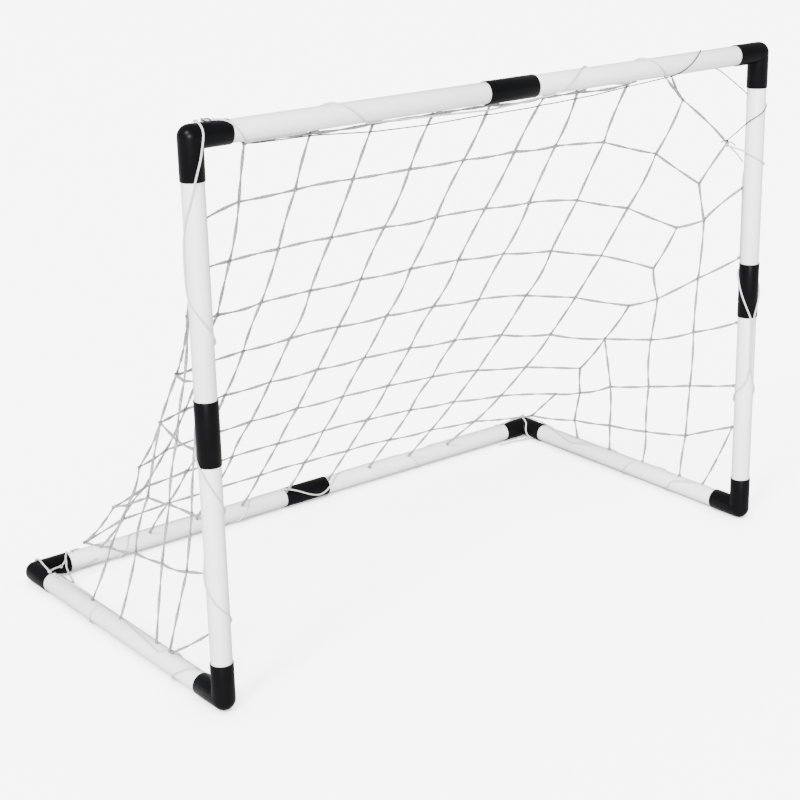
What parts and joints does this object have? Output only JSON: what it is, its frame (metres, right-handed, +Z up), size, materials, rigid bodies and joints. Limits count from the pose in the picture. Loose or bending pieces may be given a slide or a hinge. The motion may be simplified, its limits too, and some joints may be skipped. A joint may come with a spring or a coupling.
{
  "type": "soccer goal",
  "caption": "Small free-standing goal: push-fit white tube frame with black elbows and sleeves, slanted back, and a laced-on square-mesh net.",
  "frame": {"origin": "on the ground, below the middle of the bounding box", "axes": "+X along the crossbar to the right as seen from the mouth, +Y from the mouth to the back, +Z up"},
  "size_m": [0.8853, 0.485, 0.6627],
  "materials": {
    "white_tube": "satin",
    "black_plastic": "satin",
    "net_twine": "matte",
    "lacing_cord": "matte",
    "dark_cord": "matte"
  },
  "bodies": {
    "root": {"crossbar_tube_left": "white_tube", "crossbar_tube_right": "white_tube", "left_post_tube_lower": "white_tube", "left_post_tube_upper": "white_tube", "right_post_tube_lower": "white_tube", "right_post_tube_upper": "white_tube", "rear_bar_tube_left": "white_tube", "rear_bar_tube_right": "white_tube", "left_base_tube": "white_tube", "right_base_tube": "white_tube", "crossbar_coupler": "black_plastic", "left_post_coupler": "black_plastic", "right_post_coupler": "black_plastic", "rear_bar_coupler": "black_plastic", "top_left_elbow": "black_plastic", "top_right_elbow": "black_plastic", "front_left_elbow": "black_plastic", "front_right_elbow": "black_plastic", "rear_left_elbow": "black_plastic", "rear_right_elbow": "black_plastic", "net_back_upper": "net_twine", "net_back_lower": "net_twine", "net_left_corner_upper": "net_twine", "net_left_corner_lower": "net_twine", "net_left_side_front": "net_twine", "net_left_side_rear": "net_twine", "net_right_corner_upper": "net_twine", "net_right_corner_lower": "net_twine", "net_right_side_front": "net_twine", "net_right_side_rear": "net_twine", "crossbar_lace": "lacing_cord", "top_tie_cord": "dark_cord", "left_post_lace": "lacing_cord", "right_post_lace": "lacing_cord", "right_post_tie": "lacing_cord", "rear_bar_lace": "lacing_cord", "left_base_lace": "lacing_cord", "right_base_lace": "lacing_cord"}
  },
  "joints": []
}
